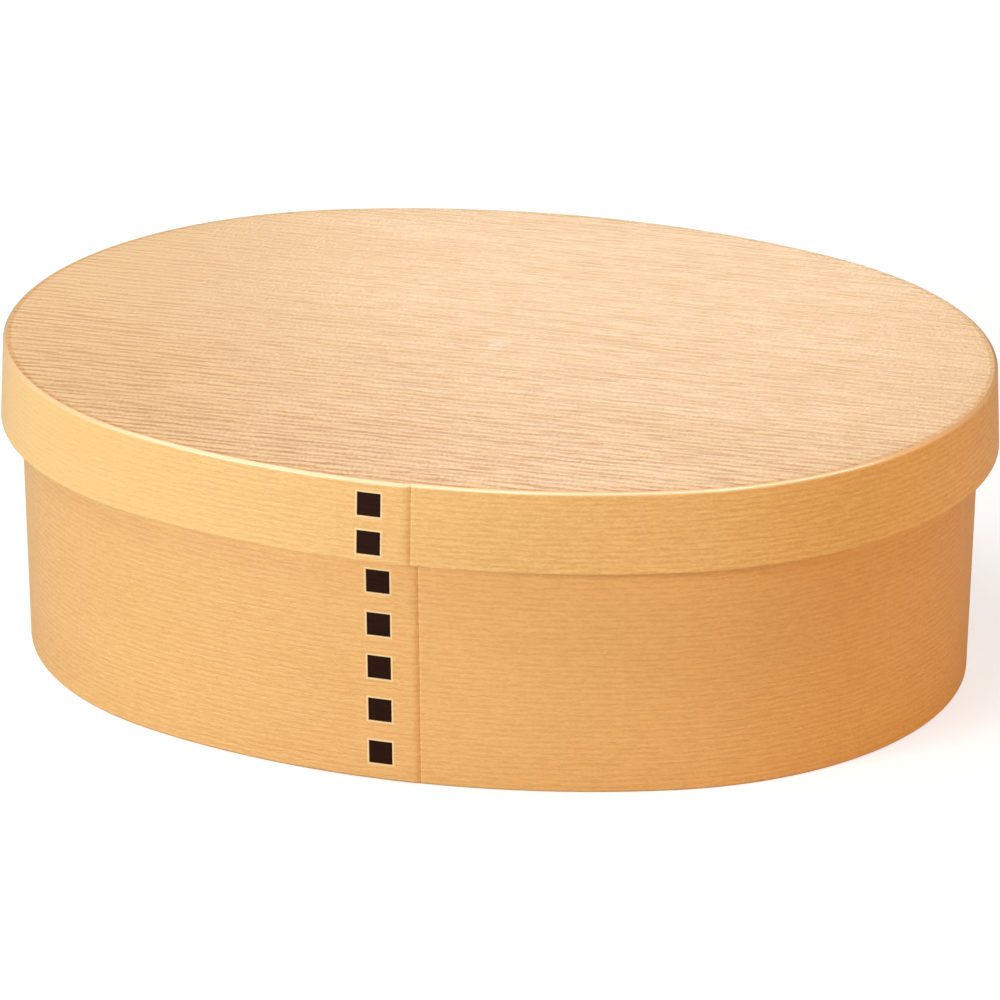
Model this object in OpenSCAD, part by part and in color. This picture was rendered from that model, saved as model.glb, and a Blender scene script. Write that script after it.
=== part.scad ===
// Oval one-tier lunch box: a moulded resin box in the style of bent wood, with a deep
// cap lid, an inner sealing lid and a loose divider. Millimetres, +Z up, +X along the
// length, the seam on the -Y side, origin at the middle of the foot on the table.

/* [Overall] */
// Length over the lower edge of the lid's skirt
lid_l = 170; // [150:1:210]
// Width over the lower edge of the lid's skirt
lid_w = 134; // [110:1:145]
// Height of the body from the table to its rim
body_h = 50.5; // [40:0.5:80]

/* [Body] */
// Thickness of the body's wall
body_wall = 2.2; // [1.6:0.1:3.5]
// Thickness of the body's floor
body_floor = 2.4; // [1.6:0.1:4]
// How far the wall leans in on each side from the rim down to the foot
body_taper = 1.2; // [0.3:0.1:3]
// Radius between the floor and the wall inside
inside_r = 5; // [2:0.5:8]
// Radius of the outer edge at the foot
foot_edge_r = 0.5; // [0.4:0.1:1.5]
// Width of the ring that the box stands on
foot_ring_w = 6; // [4:0.5:12]
// Depth of the hollow inside that ring
foot_hollow = 0.8; // [0.4:0.1:1.5]
// Chamfer on the edges of the rim
rim_chamfer = 0.3; // [0.1:0.1:0.5]

/* [Lid] */
// Height of the lid over its skirt
lid_h = 14; // [10:0.2:20]
// Thickness of the lid's top
lid_top = 2.2; // [1.6:0.1:3.5]
// Thickness of the lid's skirt
lid_wall = 2.0; // [1.4:0.1:3]
// How far the skirt flares out on each side from the top to its lower edge
lid_flare = 0.6; // [0.3:0.05:1.2]
// Gap between the skirt and the body's lap at the rim
lid_gap = 0.4; // [0.2:0.05:1]
// Radius of the lid's upper edge
lid_edge_r = 0.8; // [0.4:0.1:1.5]
// Radius inside the lid between its top and its skirt
lid_inside_r = 0.6; // [0.3:0.1:0.8]
// Diameter of the shallow gate dimple in the middle of the lid
gate_d = 5; // [3:0.5:8]
// Depth of the gate dimple
gate_depth = 0.15; // [0.05:0.05:0.3]

/* [Seam] */
// Height by which the lap stands proud at its edge
lap_step = 0.4; // [0.2:0.05:0.6]
// Length over which the lap fades into the wall
lap_run = 26; // [15:1:40]
// Height of the lap where it has faded
lap_skin = 0.05; // [0.03:0.01:0.1]
// Place of the lap's edge along the length on the body
body_lap_x = 4.25; // [-5:0.05:10]
// Place of the lap's edge along the length on the lid
lid_lap_x = 3.85; // [-5:0.05:10]
// Distance from the body lap's edge back to the middle of its stitches
body_stitch_back = 6.55; // [4:0.05:10]
// Distance from the lid lap's edge back to the middle of its stitches
lid_stitch_back = 6.8; // [4:0.05:10]
// Side of one square stitch
stitch_size = 3.95; // [2.5:0.05:5]
// Depth of a stitch's pocket in the wall
stitch_depth = 0.7; // [0.4:0.1:1]
// How far a stitch's face lies below the wall's face
stitch_inset = 0.05; // [0:0.01:0.1]
// Gap all round a stitch in its pocket
stitch_gap = 0.03; // [0.02:0.01:0.1]
// Height of the lowest body stitch's middle above the table
body_stitch_z = 5.05; // [3:0.05:8]
// Distance between body stitches
body_stitch_pitch = 7.6; // [5:0.1:9]
// Height of the lower lid stitch's middle above the skirt's lower edge
lid_stitch_z = 3.35; // [2.5:0.05:4]
// Distance between lid stitches
lid_stitch_pitch = 6.55; // [4.5:0.05:8]
// Lean of the body's seam from upright, in degrees
seam_lean = 0.5; // [0:0.1:2]

/* [Inner lid] */
// Thickness of the flange that rests on the body's rim
flange_t = 1.4; // [1:0.1:2.5]
// How far the flange stays inside the rim's outer edge
flange_inset = 0.15; // [0.1:0.05:0.6]
// Gap between the plug and the body's wall at the rim
plug_gap = 0.9; // [0.6:0.1:1.5]
// Depth of the plug below the rim
plug_h = 5.5; // [4.5:0.1:9]
// Thickness of the plug's wall
plug_wall = 2.0; // [1.8:0.1:3]
// Thickness of the middle panel
panel_t = 1.4; // [1:0.1:2.5]
// Height of the plug's lower edge below the panel
panel_lift = 0.9; // [0.4:0.1:2]
// Length of the grip rib on the panel
grip_l = 24; // [15:1:40]
// Thickness of the grip rib
grip_t = 2.4; // [1.6:0.1:4]
// How far the grip rib's top stays below the flange's top
grip_drop = 0.6; // [0.3:0.1:1.5]
// Distance from the plug's end to the grip rib
grip_end = 12; // [8:1:40]

/* [Gasket] */
// Height of the gasket and of its groove
gasket_h = 2.4; // [2:0.1:3]
// Depth of the groove in the plug's wall
groove_depth = 0.9; // [0.6:0.1:1]
// Height of the groove above the plug's lower edge
groove_z = 1.3; // [1:0.1:1.5]
// Gap between the gasket's lips and the body's wall
seal_gap = 0.15; // [0.1:0.05:0.3]
// Gap between the gasket and its groove
groove_gap = 0.05; // [0.03:0.01:0.1]

/* [Divider] */
// Thickness of the divider
divider_t = 1.6; // [1.2:0.1:3]
// Place of the divider along the length
divider_x = 22; // [-35:1:35]
// Gap between the divider and the body's wall
divider_gap = 0.6; // [0.4:0.1:1.5]
// Gap between the divider and the inner lid
divider_headroom = 1.5; // [1:0.1:5]
// Width of the foot that keeps the divider upright
divider_foot_w = 12; // [8:1:20]
// Length of that foot
divider_foot_l = 60; // [30:1:80]
// Thickness of that foot
divider_foot_t = 1.4; // [1:0.1:2.5]

/* [Hidden] */
$fn = 96;
body_stitches = 5;
lid_stitches = 2;

// The plan is a four-arc oval drawn on right triangles with sides 5, 12 and 13: half the
// length is the end arc's radius and 5 units, half the width is that radius and 1 unit
oval_unit = (lid_l - lid_w) / 8;
end_r = lid_w / 2 - oval_unit;
end_x = 5 * oval_unit;
side_r = end_r + 13 * oval_unit;
side_y = 12 * oval_unit;
// Size of the larger triangle whose long side divides the ends from the sides
plan_reach = 12;

// Heights
lid_under = body_h + flange_t;
total_h = lid_under + lid_top;
skirt_z = total_h - lid_h;
floor_z = foot_hollow + body_floor;
plug_z = body_h - plug_h;
panel_z = plug_z + panel_lift;
panel_top = panel_z + panel_t;
divider_top = plug_z - divider_headroom;
seam_mid = body_h / 2;

// Leans, as sideways travel per unit of height
body_lean = body_taper / body_h;
lid_lean = lid_flare / lid_h;

// Places measured outwards from the lid's lower outline
deep = -lid_l;
rim_out = skirt_in(body_h) - lid_gap - lap_step;
rim_in = rim_out - body_wall;
flange_out = min(rim_out, skirt_in(lid_under) - lid_inside_r) - flange_inset;
plug_out = rim_in - plug_gap;
plug_in = plug_out - plug_wall;
groove_in = plug_out - groove_depth;
groove_low = plug_z + groove_z;
groove_top = groove_low + gasket_h;

// Extra length on tools that cut through a face
past = 1;
// Straight steps along the arc of a rounded edge
arc_steps = 8;
// Height of one sloping side of the gasket's two lips
lip_h = gasket_h / 4;
// How deep the lap's strip reaches into the wall
lap_root = 1;
lap_turn = atan((lap_step - lap_skin) / lap_run);
gate_r = (gate_d * gate_d / 4 + gate_depth * gate_depth) / (2 * gate_depth);

// Outer and inner faces of the body's wall and of the lid's skirt at height z
function body_out(z) = rim_out - (body_h - z) * body_lean;
function body_in(z) = body_out(z) - body_wall;
function skirt_out(z) = (skirt_z - z) * lid_lean;
function skirt_in(z) = skirt_out(z) - lid_wall;

// Points along an arc about a centre, between two angles
function arc(centre, r, from, to) = [
  for (i = [0:arc_steps])
    let (a = from + (to - from) * i / arc_steps)
      centre + r * [cos(a), sin(a)]
];

// An offset to the thousandth, so that the swept ends and sides meet exactly
function snap(offset) = round(offset * 1000) / 1000;

// Place of the lid's lower outline on the front side, at x along the length
function front_y(x) = side_y - sqrt(side_r * side_r - x * x);

// Plan of one rounded end, between the two lines where its arc meets the sides
module end_plan() {
  far_x = end_x + 5 * plan_reach;
  far_y = 12 * plan_reach;
  polygon([
    [end_x, 0],
    [far_x, far_y],
    [end_x + lid_l, far_y],
    [end_x + lid_l, -far_y],
    [far_x, -far_y]
  ]);
}

// Plan of one long side, between the same lines
module side_plan() {
  far_x = end_x + 5 * plan_reach;
  far_y = 12 * plan_reach;
  polygon([
    [end_x, 0],
    [far_x, far_y],
    [-far_x, far_y],
    [-end_x, 0]
  ]);
}

// A plan region as a tall prism
module tall() {
  translate([0, 0, -past])
    linear_extrude(total_h + 2 * past)
      children();
}

// One rounded end of a section swept along the oval
module swept_end(section) {
  intersection() {
    translate([end_x, 0, 0])
      rotate(-90)
        rotate_extrude(angle = 180)
          polygon([for (p = section) [max(0, end_r + snap(p[0])), p[1]]]);
    tall() end_plan();
  }
}

// One long side of a section swept along the oval
module swept_side(section) {
  translate([0, -side_y, 0])
    rotate_extrude(angle = 180)
      polygon([for (p = section) [max(0, side_r + snap(p[0])), p[1]]]);
}

// A section of [offset, height] points swept all the way round the oval
module swept(section) {
  for (turn = [0, 180])
    rotate(turn) {
      swept_end(section);
      intersection() {
        swept_side(section);
        tall() side_plan();
      }
    }
}

// A solid oval whose side follows an outline of [offset, height] points, from low to high
module solid_oval(outline) {
  low = outline[0][1];
  high = outline[len(outline) - 1][1];
  swept(concat([[deep, low]], outline, [[deep, high]]));
}

// Moves the front wall about the far end of the lap, so that the lap stands proud
module on_lap(edge_x) {
  root_x = edge_x - lap_run;
  root_y = front_y(root_x);
  translate([root_x, root_y - lap_skin, 0])
    rotate(-lap_turn)
      translate([-root_x, -root_y, 0])
        children();
}

// A section on the front wall, lifted by the lap
module lap_sweep(section, edge_x) {
  on_lap(edge_x)
    rotate(180)
      swept_side(section);
}

// A window on the front wall, across x and up z, leaning with the seam about the edge at mid_z
module front_window(x0, x1, z0, z1, lean, edge_x, mid_z) {
  translate([edge_x, 0, mid_z])
    rotate([0, -lean, 0])
      translate([x0 - edge_x, -lid_w, z0 - mid_z])
        cube([x1 - x0, lid_w, z1 - z0]);
}

// The proud strip of a lap, between two heights of a wall
module lap(wall_out, z0, z1, edge_x, lean, mid_z) {
  intersection() {
    lap_sweep([
      [wall_out[0] - lap_root, z0],
      [wall_out[0], z0],
      [wall_out[1], z1],
      [wall_out[1] - lap_root, z1]
    ], edge_x);
    front_window(edge_x - lap_run, edge_x, -past, total_h + past, lean, edge_x, mid_z);
  }
}

// A square tile in the lap, or its pocket when it is grown by a gap and reaches outwards
module stitch_tile(wall_out, z, edge_x, back, lean, mid_z, grow, outwards) {
  x = edge_x - back;
  half = stitch_size / 2 + grow;
  low = z - stitch_size;
  high = z + stitch_size;
  intersection() {
    lap_sweep([
      [wall_out[0] - stitch_depth - grow, low],
      [wall_out[0] + outwards, low],
      [wall_out[1] + outwards, high],
      [wall_out[1] - stitch_depth - grow, high]
    ], edge_x);
    front_window(x - half, x + half, z - half, z + half, lean, edge_x, mid_z);
  }
}

// One body stitch, counted from the foot up
module body_stitch_at(i, grow, outwards) {
  z = body_stitch_z + i * body_stitch_pitch;
  wall_out = [body_out(z - stitch_size), body_out(z + stitch_size)];
  stitch_tile(wall_out, z, body_lap_x, body_stitch_back, seam_lean, seam_mid, grow, outwards);
}

// One lid stitch, counted from the skirt's lower edge up
module lid_stitch_at(i, grow, outwards) {
  z = skirt_z + lid_stitch_z + i * lid_stitch_pitch;
  wall_out = [skirt_out(z - stitch_size), skirt_out(z + stitch_size)];
  stitch_tile(wall_out, z, lid_lap_x, lid_stitch_back, 0, skirt_z, grow, outwards);
}

// The inside of the body, drawn in from its wall by a gap
module cavity(gap, top) {
  turn_z = floor_z + inside_r;
  centre = [body_in(turn_z) - gap - inside_r, turn_z];
  solid_oval(concat(
    arc(centre, inside_r, -90, 0),
    [[body_in(top) - gap, top]]
  ));
}

// Box shell with its foot ring, lap and stitch pockets
module body() {
  color("peru")
    difference() {
      union() {
        solid_oval(concat(
          arc([body_out(foot_edge_r) - foot_edge_r, foot_edge_r], foot_edge_r, -90, 0),
          [
            [body_out(body_h - rim_chamfer), body_h - rim_chamfer],
            [rim_out - rim_chamfer, body_h]
          ]
        ));
        lap([body_out(foot_edge_r), rim_out], foot_edge_r, body_h, body_lap_x, seam_lean, seam_mid);
      }
      cavity(0, body_h + past);
      solid_oval([
        [body_out(0) - foot_ring_w, -past],
        [body_out(0) - foot_ring_w, foot_hollow]
      ]);
      for (i = [0:body_stitches - 1])
        body_stitch_at(i, stitch_gap, past);
    }
}

// Cap lid with its skirt, lap, stitch pockets and gate dimple
module lid() {
  turn_z = total_h - lid_edge_r;
  lap_z = skirt_z + 2 * rim_chamfer;
  inner_turn = lid_under - lid_inside_r;
  color("burlywood")
    difference() {
      union() {
        solid_oval(concat(
          [
            [-rim_chamfer, skirt_z],
            [skirt_out(skirt_z + rim_chamfer), skirt_z + rim_chamfer]
          ],
          arc([skirt_out(turn_z) - lid_edge_r, turn_z], lid_edge_r, 0, 90)
        ));
        lap([skirt_out(lap_z), skirt_out(turn_z)], lap_z, turn_z, lid_lap_x, 0, skirt_z);
      }
      solid_oval(concat(
        [[skirt_in(skirt_z - past), skirt_z - past]],
        arc([skirt_in(inner_turn) - lid_inside_r, inner_turn], lid_inside_r, 0, 90)
      ));
      for (i = [0:lid_stitches - 1])
        lid_stitch_at(i, stitch_gap, past);
      translate([0, 0, total_h + gate_r - gate_depth])
        rotate([90, 0, 0])
          sphere(gate_r);
    }
}

// Dark square inlay on the body's lap
module body_stitch(i) {
  color("saddlebrown")
    body_stitch_at(i, 0, -stitch_inset);
}

// Dark square inlay on the lid's lap
module lid_stitch(i) {
  color("saddlebrown")
    lid_stitch_at(i, 0, -stitch_inset);
}

// Sealing lid: a flange on the rim, a plug with a groove, a sunken panel and a grip rib
module inner_lid() {
  grip_x = end_x + end_r + plug_in - grip_end;
  color("ivory")
    union() {
      difference() {
        solid_oval([
          [plug_out, plug_z],
          [plug_out, groove_low],
          [groove_in, groove_low],
          [groove_in, groove_top],
          [plug_out, groove_top],
          [plug_out, body_h],
          [flange_out, body_h],
          [flange_out, lid_under]
        ]);
        solid_oval([[plug_in, panel_top], [plug_in, lid_under + past]]);
        solid_oval([[plug_in, plug_z - past], [plug_in, panel_z]]);
      }
      translate([grip_x - grip_t / 2, -grip_l / 2, panel_z + panel_t / 2])
        cube([grip_t, grip_l, lid_under - grip_drop - panel_z - panel_t / 2]);
    }
}

// Sealing ring in the plug's groove, with two lips towards the body's wall
module inner_lid_gasket() {
  low = groove_low;
  high = groove_top - groove_gap;
  back = groove_in + groove_gap;
  lip = body_in(low) - seal_gap;
  color("whitesmoke")
    swept([
      [back, low],
      [plug_out, low],
      [lip, low + lip_h],
      [plug_out, low + 2 * lip_h],
      [lip, low + 3 * lip_h],
      [plug_out, high],
      [back, high]
    ]);
}

// Loose partition across the box, with a flat foot on the floor
module divider() {
  color("khaki")
    union() {
      intersection() {
        cavity(divider_gap, divider_top);
        translate([divider_x - divider_t / 2, -lid_w, 0])
          cube([divider_t, 2 * lid_w, total_h]);
      }
      translate([divider_x - divider_foot_w / 2, -divider_foot_l / 2, floor_z])
        cube([divider_foot_w, divider_foot_l, divider_foot_t]);
    }
}

body();
body_stitch(0);  // body_stitch_1
body_stitch(1);  // body_stitch_2
body_stitch(2);  // body_stitch_3
body_stitch(3);  // body_stitch_4
body_stitch(4);  // body_stitch_5
lid();
lid_stitch(0);  // lid_stitch_1
lid_stitch(1);  // lid_stitch_2
inner_lid();
inner_lid_gasket();
divider();
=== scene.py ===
import math
import bmesh
import bpy
from mathutils import Matrix, Vector


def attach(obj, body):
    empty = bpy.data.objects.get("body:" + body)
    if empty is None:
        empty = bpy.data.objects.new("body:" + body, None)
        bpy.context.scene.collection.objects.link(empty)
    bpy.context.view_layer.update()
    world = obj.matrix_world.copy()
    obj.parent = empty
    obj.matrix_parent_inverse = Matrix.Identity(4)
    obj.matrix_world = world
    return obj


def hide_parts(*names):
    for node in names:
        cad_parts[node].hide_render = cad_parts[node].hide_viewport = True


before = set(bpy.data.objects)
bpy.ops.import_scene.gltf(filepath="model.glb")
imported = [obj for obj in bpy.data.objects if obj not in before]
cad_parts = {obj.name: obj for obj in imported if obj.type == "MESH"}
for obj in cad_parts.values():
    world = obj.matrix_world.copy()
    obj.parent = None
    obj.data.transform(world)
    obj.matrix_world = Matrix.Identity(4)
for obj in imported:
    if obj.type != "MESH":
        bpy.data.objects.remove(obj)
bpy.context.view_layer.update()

# Sizes of the box in millimetres, the main ones as in the CAD model. OUTER_CLEAR keeps the finer mesh
# inside the CAD model's outer faces
MM = 0.001
LID_LENGTH = 170.0
LID_WIDTH = 134.0
BODY_HEIGHT = 50.5
BODY_WALL = 2.2
BODY_FLOOR = 2.4
BODY_TAPER = 1.2
INSIDE_R = 5.0
FOOT_EDGE_R = 0.5
FOOT_RING_W = 6.0
FOOT_HOLLOW = 0.8
FOOT_RING_R = 0.3
RIM_R = 0.35
SKIRT_EDGE_R = 0.15
OUTER_CLEAR = 0.03
LID_HEIGHT = 14.0
LID_TOP = 2.2
LID_WALL = 2.0
LID_FLARE = 0.6
LID_GAP = 0.4
LID_INSIDE_R = 0.6
GATE_R = 2.5
GATE_DEPTH = 0.14
GATE_SHARE = 0.9
FLANGE_T = 1.4
FLANGE_INSET = 0.15
FLANGE_ROOT_R = 0.3
FLANGE_LOW_R = 0.25
FLANGE_TOP_R = 0.5
PLUG_GAP = 0.9
PLUG_HEIGHT = 5.5
PLUG_WALL = 2.0
PLUG_EDGE_R = 0.4
PANEL_T = 1.4
PANEL_LIFT = 0.9
PANEL_UNDER_R = 0.3
PANEL_MOUTH_R = 0.6
PANEL_ROOT_R = 0.8
GRIP_LENGTH = 24.0
GRIP_T = 2.4
GRIP_DROP = 0.6
GRIP_END = 12.0
GRIP_SUNK = 0.8
GRIP_R = 0.7
GASKET_HEIGHT = 2.4
GASKET_R = 0.1
GASKET_ROOT_R = 0.15
GASKET_LIP_R = 0.12
GROOVE_DEPTH = 0.9
GROOVE_Z = 1.3
GROOVE_R = 0.1
SEAL_GAP = 0.15
GROOVE_GAP = 0.05
DIVIDER_T = 1.6
DIVIDER_X = 22.0
DIVIDER_GAP = 0.6
DIVIDER_HEADROOM = 1.5
DIVIDER_CORNER_R = 1.5
DIVIDER_EDGE_R = DIVIDER_T * 0.35
DIVIDER_FOOT = (12.0, 60.0, 1.4)
DIVIDER_FOOT_R = 0.5

# The lapped seam and its square stitches. LAP_REACH puts the lap's edge a little past the CAD model's. Up to
# SEAM_NEAR from that edge the wall's points lean with the seam, and beyond SEAM_FAR they don't
LAP_STEP = 0.4
LAP_SKIN = 0.04
LAP_CLEAR = 0.02
LAP_RUN = 26.0
LAP_FADE = 8.0
LAP_ROLL = 1.7
LAP_CURVE = 3.0
LAP_REACH = 0.15
CREASE_DEPTH = 0.08
CREASE_WIDTH = 0.3
BODY_LAP_X = 4.25
LID_LAP_X = 3.85
SEAM_LEAN = math.tan(math.radians(0.5))
SEAM_NEAR = 14.0
SEAM_FAR = 40.0
STITCH_SIZE = 3.95
STITCH_DEPTH = 0.7
STITCH_INSET = 0.05
STITCH_GAP = 0.03
STITCH_BEVEL = 0.1
STITCH_DOME = 0.03
LIP_WIDTH = 0.3
LIP_RISE = 0.015
LIP_ROOT = 0.06
LIP_STEPS = 8
BODY_STITCHES = 5
BODY_STITCH_BACK = 6.55
BODY_STITCH_Z = 5.05
BODY_STITCH_PITCH = 7.6
LID_STITCHES = 2
LID_STITCH_BACK = 6.8
LID_STITCH_Z = 3.35
LID_STITCH_PITCH = 6.55

# The lid's top falls a little towards its edge, which is a narrow polished slope with rounded borders
TOP_FALL = 0.08
TOP_FALL_WIDTH = 4.0
EDGE_IN = 0.54
EDGE_DROP = 0.42
EDGE_BULGE = 0.02
BULGE_SHARES = (0.25, 0.5, 0.75)
EDGE_R = 0.2
FALL_STEPS = 5
# Width of the band along the top's edge whose tones are painted darker as shade
PAINTED_SHADE_BORDER_WIDTH = TOP_FALL_WIDTH / FALL_STEPS

# How finely the meshes are cut
EVEN_STEPS = 324
ARC_STEPS = 6
ROLL_STEPS = 9
HOLD = 0.12
BEVEL_STEPS = 4
STITCH_STEPS = 4
SEAM_CLEAR = 1.0
SHARP_ANGLE = 32
GASKET_SHARP_ANGLE = 50
ON_FACE = 1e-6

# Flat faces start this far in from their edge, and are closed by loops that shrink by these shares
FLAT_MARGIN = 3.0
WIDE_MARGIN = 4.0
FLAT_SHARES = (0.97, 0.7, 0.4)
TOP_SHARES = (0.995, 0.9, 0.75, 0.6, 0.45, 0.3, 0.15, 0.06, 0.045, 0.036, 0.028, 0.02, 0.012, 0.005)

# How near to a flat face a face of the section has to be to take its material
LID_FLAT_RISE = 0.01
FLOOR_FLAT_RISE = 0.5
FLOOR_FLAT_IN = 2.0

# The plan is a four-arc oval drawn on right triangles with sides 5, 12 and 13
OVAL_UNIT = (LID_LENGTH - LID_WIDTH) / 8
END_R = LID_WIDTH / 2 - OVAL_UNIT
END_X = 5 * OVAL_UNIT
SIDE_R = END_R + 13 * OVAL_UNIT
SIDE_Y = 12 * OVAL_UNIT
SIDE_TURN = math.atan2(5, 12)
END_TURN = math.pi - 2 * SIDE_TURN
SIDE_HALF = SIDE_R * SIDE_TURN
END_LENGTH = END_R * END_TURN
ROUND_LENGTH = 4 * SIDE_HALF + 2 * END_LENGTH

# Heights above the table
LID_UNDER = BODY_HEIGHT + FLANGE_T
TOTAL_HEIGHT = LID_UNDER + LID_TOP
SKIRT_Z = TOTAL_HEIGHT - LID_HEIGHT
FLOOR_Z = FOOT_HOLLOW + BODY_FLOOR
PLUG_Z = BODY_HEIGHT - PLUG_HEIGHT
PANEL_Z = PLUG_Z + PANEL_LIFT
PANEL_TOP = PANEL_Z + PANEL_T
DIVIDER_TOP = PLUG_Z - DIVIDER_HEADROOM
SEAM_MID = BODY_HEIGHT / 2
SKIRT_MID = SKIRT_Z + LID_HEIGHT / 2


def skirt_out(z):
    """Outer face of the lid's skirt, measured outwards from the lid's lower outline."""
    return (SKIRT_Z - z) * LID_FLARE / LID_HEIGHT


def skirt_in(z):
    return skirt_out(z) - LID_WALL


RIM_OUT = skirt_in(BODY_HEIGHT) - LID_GAP - LAP_STEP


def body_out(z):
    """Outer face of the body's wall, measured outwards from the lid's lower outline."""
    return RIM_OUT - (BODY_HEIGHT - z) * BODY_TAPER / BODY_HEIGHT


def body_in(z):
    return body_out(z) - BODY_WALL


FLANGE_OUT = min(RIM_OUT, skirt_in(LID_UNDER) - LID_INSIDE_R) - FLANGE_INSET
PLUG_OUT = RIM_OUT - BODY_WALL - PLUG_GAP
PLUG_IN = PLUG_OUT - PLUG_WALL
GROOVE_IN = PLUG_OUT - GROOVE_DEPTH
GROOVE_LOW = PLUG_Z + GROOVE_Z
GROOVE_TOP = GROOVE_LOW + GASKET_HEIGHT


def clamp(value):
    return max(0.0, min(1.0, value))


def smooth(value):
    """Soft step from 0 to 1."""
    t = clamp(value)
    return t * t * (3 - 2 * t)


def nearest(values, target):
    """Index of the value nearest to the target."""
    return min(range(len(values)), key=lambda i: abs(values[i] - target))


def facing(along):
    """Angle that the oval faces at a distance along it from the middle of the front."""
    distance = abs(along)
    if distance <= SIDE_HALF:
        turn = distance / SIDE_R
    elif distance <= SIDE_HALF + END_LENGTH:
        turn = SIDE_TURN + (distance - SIDE_HALF) / END_R
    else:
        turn = SIDE_TURN + END_TURN + (distance - SIDE_HALF - END_LENGTH) / SIDE_R
    return math.copysign(turn, along) - math.pi / 2


def oval_point(along, offset):
    """Plan point at a distance along the oval, moved outwards by an offset."""
    angle = facing(along)
    out_x = math.cos(angle)
    out_y = math.sin(angle)
    if abs(out_y) < math.cos(SIDE_TURN):
        reach = END_R + offset
        return math.copysign(END_X, out_x) + reach * out_x, reach * out_y
    reach = SIDE_R + offset
    return reach * out_x, reach * out_y - math.copysign(SIDE_Y, out_y)


def front_along(x, offset):
    """Distance along the oval of a point on the front wall at x."""
    return SIDE_R * math.asin(x / (SIDE_R + offset))


def even_stations():
    return [ROUND_LENGTH * (step / EVEN_STEPS - 0.5) for step in range(EVEN_STEPS)]


def lap_rise(behind):
    """How far the wall stands proud at a distance behind the lap's edge."""
    if behind > LAP_RUN or behind < -CREASE_WIDTH:
        return 0.0
    if behind < 0:
        return -CREASE_DEPTH * (1 + behind / CREASE_WIDTH)
    proud = LAP_SKIN + (LAP_STEP - LAP_CLEAR - LAP_SKIN) * (1 - behind / LAP_RUN)
    proud *= smooth((LAP_RUN - behind) / LAP_FADE)
    if behind < LAP_ROLL:
        share = 1 - (1 - behind / LAP_ROLL) ** LAP_CURVE
        proud = (proud + CREASE_DEPTH) * share - CREASE_DEPTH
    return proud


class Shape:
    """Points and faces of one mesh, in millimetres. Each face has the number of its look."""

    def __init__(self):
        self.points = []
        self.faces = []
        self.looks = []

    def point(self, place):
        self.points.append(place)
        return len(self.points) - 1

    def face(self, corners, look=0):
        self.faces.append(corners)
        self.looks.append(look)

    def band(self, ring, following, look=0, flip=False):
        """Quads between two rings of the same length."""
        for i in range(len(ring)):
            j = (i + 1) % len(ring)
            corners = (ring[i], ring[j], following[j], following[i])
            self.face(corners[::-1] if flip else corners, look)

    def close(self, ring, shares, height, flip=False):
        """Closes a ring with loops that shrink to the middle. height gives z at a plan point."""
        edge = [self.points[i][:2] for i in ring]
        for share in shares:
            spots = [(x * share, y * share) for x, y in edge]
            loop = [self.point((x, y, height(x, y))) for x, y in spots]
            self.band(ring, loop, flip=flip)
            ring = loop
        middle = self.point((0.0, 0.0, height(0.0, 0.0)))
        for i in range(len(ring)):
            j = (i + 1) % len(ring)
            corners = (ring[i], ring[j], middle)
            self.face(corners[::-1] if flip else corners)


class Wall:
    """A shell's wall round the oval, with a lap on the front.

    The lap's skin moves as a whole. Behind the skin, and by height, the lap's share fades."""

    def __init__(self, out, thickness, skin, middle_z, lap_x, lean, stitch_back, fade):
        self.out = out
        self.thickness = thickness
        self.skin = skin
        self.lean = lean
        self.fade = fade
        middle = out(middle_z)
        self.edge = front_along(lap_x, middle) + LAP_REACH
        self.stitch = front_along(lap_x - stitch_back, middle)
        self.stretch = SIDE_R / (SIDE_R + middle)
        self.stations = self.seam_stations()

    def seam_stations(self):
        """Even steps round the oval, and finer ones at the lap's edge and at the stitches."""
        fine = [self.edge + CREASE_WIDTH * part / 2 for part in (1, 2, 4)]
        for step in range(ROLL_STEPS + 1):
            fine.append(self.edge - LAP_ROLL * (1 - math.cos(step * math.pi / 2 / ROLL_STEPS)))
        half = self.pocket_half()
        fine += [self.stitch + half * part / 2 for part in (-2, -1, 0, 1, 2)]
        low = min(fine) - SEAM_CLEAR
        high = max(fine) + SEAM_CLEAR
        return sorted(fine + [along for along in even_stations() if not low < along < high])

    def pocket_half(self):
        return (STITCH_SIZE / 2 + STITCH_GAP) * self.stretch

    def place(self, along, offset, z):
        """Point of the wall, with the lap's rise and the seam's lean."""
        depth = clamp((offset - self.out(z) + self.thickness) / (self.thickness - self.skin))
        share = depth * self.fade(z)
        near = 1 - smooth((abs(along - self.edge) - SEAM_NEAR) / (SEAM_FAR - SEAM_NEAR))
        shift = depth * near * self.lean * (SEAM_MID - z)
        rise = share * lap_rise(self.edge - along) - depth * OUTER_CLEAR
        x, y = oval_point(along + shift, offset + rise)
        return x, y, z


def rounded(corners, closed=False):
    """Points of a section: each corner (a, b, radius) becomes an arc, held flat on both sides of it."""
    points = []
    for i, (a, b, radius) in enumerate(corners):
        corner = Vector((a, b))
        ends = not closed and i in (0, len(corners) - 1)
        if radius == 0 or ends:
            points.append(corner)
            continue
        before = Vector(corners[i - 1][:2]) - corner
        after = Vector(corners[(i + 1) % len(corners)][:2]) - corner
        room = min(before.length, after.length)
        before.normalize()
        after.normalize()
        half = before.angle(after) / 2
        reach = radius / math.tan(half)
        centre = corner + (before + after).normalized() * radius / math.sin(half)
        start = corner + before * reach - centre
        turn = start.angle_signed(corner + after * reach - centre)
        if reach + HOLD < room:
            points.append(corner + before * (reach + HOLD))
        for step in range(ARC_STEPS + 1):
            points.append(centre + Matrix.Rotation(-turn * step / ARC_STEPS, 2) @ start)
        if reach + HOLD < room:
            points.append(corner + after * (reach + HOLD))
    return [(p.x, p.y) for p in points]


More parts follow.
